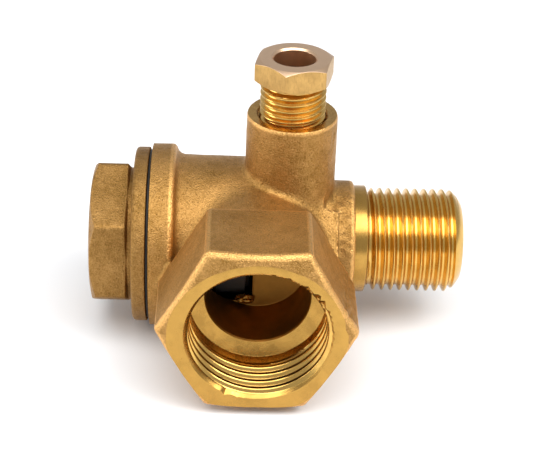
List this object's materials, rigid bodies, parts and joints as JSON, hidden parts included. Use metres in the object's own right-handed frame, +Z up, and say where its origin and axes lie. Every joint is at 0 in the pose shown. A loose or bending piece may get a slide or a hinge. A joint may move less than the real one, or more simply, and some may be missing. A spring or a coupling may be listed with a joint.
{
  "type": "spring check valve",
  "caption": "Three-port brass check valve: screwed cap and sprung piston, female tank port in a hexagon, male pump port, and a boss with a tube nut for a thin pipe.",
  "frame": {"origin": "middle of the bottom of the bounding box, with the flow axis level", "axes": "+X along the flow axis towards the male pump port, -Y out of the female tank port, +Z up the boss that takes the thin tube"},
  "size_m": [0.0746, 0.0544, 0.0584],
  "materials": {
    "cast_brass": "matt sand-cast brass with turned, bright threads, port mouth and faces",
    "cap_brass": "matt stamped brass",
    "nut_brass": "turned, slightly worn",
    "seal_rubber": "matt black",
    "piston_plastic": "dark grey, matt",
    "spring_steel": "drawn wire"
  },
  "bodies": {
    "valve": {"valve_body": "cast_brass"},
    "piston": {"check_piston": "piston_plastic", "piston_seal_disc": "seal_rubber"},
    "cap_seal": {"cap_seal_ring": "seal_rubber"},
    "cap": {"end_cap": "cap_brass", "check_spring": "spring_steel"},
    "ferrule": {"tube_ferrule": "nut_brass"},
    "nut": {"tube_nut": "nut_brass"}
  },
  "joints": [
    {"name": "piston_slide", "type": "slide", "parent": "valve", "child": "piston", "axis": [-1, 0, 0], "range_m": [0, 0.004], "stiffness_N_per_m": 350, "springref_m": -0.005, "deforming": ["check_spring"]},
    {"name": "cap_travel", "type": "slide", "parent": "valve", "child": "cap_seal", "axis": [-1, 0, 0], "range_m": [0, 0.008]},
    {"name": "cap_screw", "type": "hinge", "parent": "cap_seal", "child": "cap", "pos_m": [-0.0321, 0.00877, 0.01845], "axis": [-1, 0, 0], "range_deg": [0, 1915]},
    {"name": "nut_travel", "type": "slide", "parent": "valve", "child": "ferrule", "axis": [0, 0, 1], "range_m": [-0.002, 0.006]},
    {"name": "nut_screw", "type": "hinge", "parent": "ferrule", "child": "nut", "pos_m": [0.0022, 0.00877, 0.05545], "axis": [0, 0, 1], "range_deg": [-535, 1610]}
  ],
  "couplings": [
    {"joint": "cap_travel", "follows": "cap_screw", "m_per_rad": 0.00023873},
    {"joint": "nut_travel", "follows": "nut_screw", "m_per_rad": 0.00021276}
  ]
}
